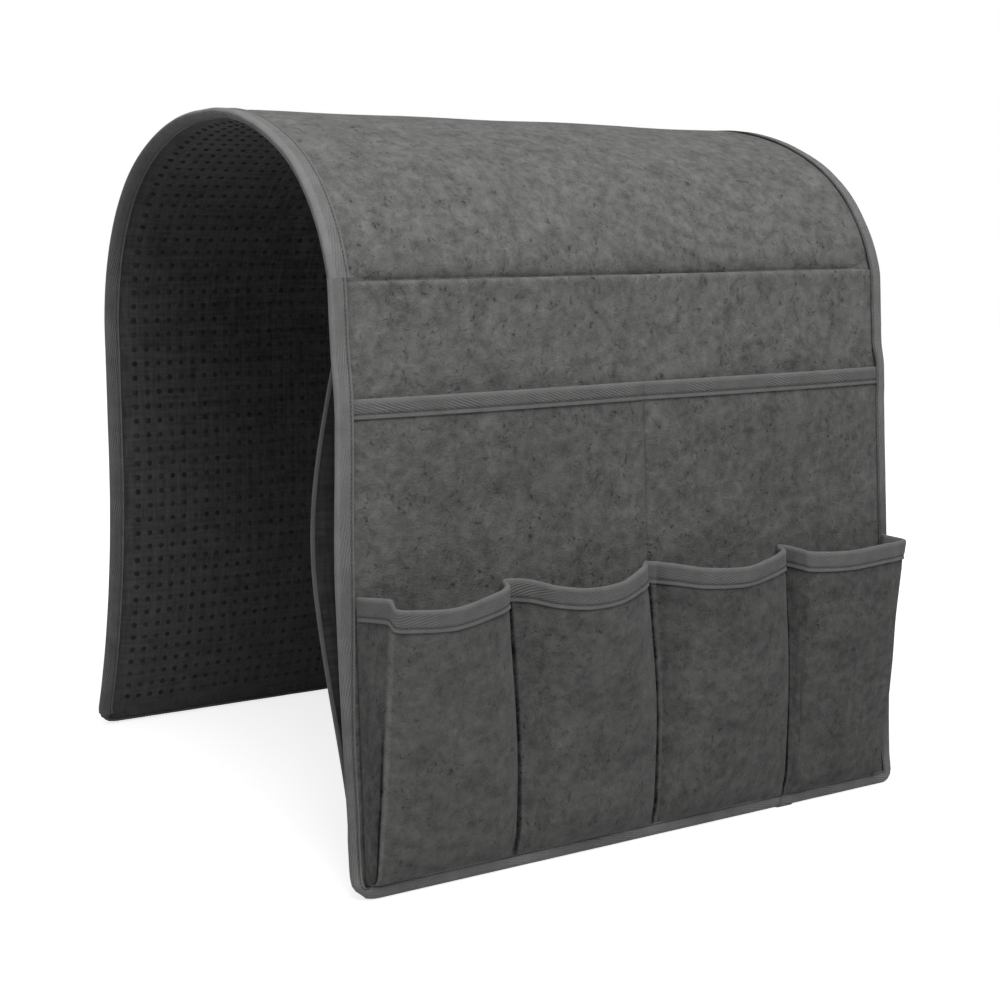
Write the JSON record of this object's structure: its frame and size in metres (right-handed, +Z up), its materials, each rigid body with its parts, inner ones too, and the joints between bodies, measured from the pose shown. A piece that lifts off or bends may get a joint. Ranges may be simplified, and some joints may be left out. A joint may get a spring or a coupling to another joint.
{
  "type": "sofa armrest organizer",
  "caption": "Draped felt strip that lies over a sofa arm, with bound edges, wide flat pockets, deep pleated pockets and a hidden side-opening sleeve.",
  "frame": {"origin": "on the floor under the middle of the part's box", "axes": "X runs along the sofa arm, -Y is the side with the pockets, +Z is up"},
  "size_m": [0.33, 0.3662, 0.3569],
  "materials": {
    "felt": "matt melange grey felt",
    "pocket_felt": "matt melange grey felt, a little thinner",
    "binding_tape": "grey twill tape with a slight sheen",
    "anti_slip_lining": "charcoal knit with a grid of small anti-slip dots"
  },
  "bodies": {
    "saddle": {"felt_saddle": "felt", "lining_saddle": "anti_slip_lining", "binding_left_saddle": "binding_tape", "binding_right_saddle": "binding_tape"},
    "front_drop": {"felt_front_drop": "felt", "binding_front_drop": "binding_tape", "sleeve_lining": "anti_slip_lining", "sleeve_binding": "binding_tape", "wide_pocket_panel": "pocket_felt", "wide_pocket_binding": "binding_tape", "cup_pocket_1": "pocket_felt", "cup_pocket_2": "pocket_felt", "cup_pocket_3": "pocket_felt", "cup_pocket_4": "pocket_felt", "cup_pocket_binding_1": "binding_tape", "cup_pocket_binding_2": "binding_tape", "cup_pocket_binding_3": "binding_tape", "cup_pocket_binding_4": "binding_tape"},
    "back_drop": {"felt_back_drop": "felt", "lining_back_drop": "anti_slip_lining", "binding_back_drop": "binding_tape"}
  },
  "joints": [
    {"name": "front_fold", "type": "hinge", "parent": "saddle", "child": "front_drop", "pos_m": [0, -0.13585, 0.27563], "axis": [-1, 0, 0], "range_deg": [-20, 90], "stiffness_Nm_per_rad": 3},
    {"name": "back_shoulder", "type": "hinge", "parent": "saddle", "child": "back_drop", "pos_m": [0, 0.14275, 0.23986], "axis": [1, 0, 0], "range_deg": [-20, 90], "stiffness_Nm_per_rad": 3}
  ]
}
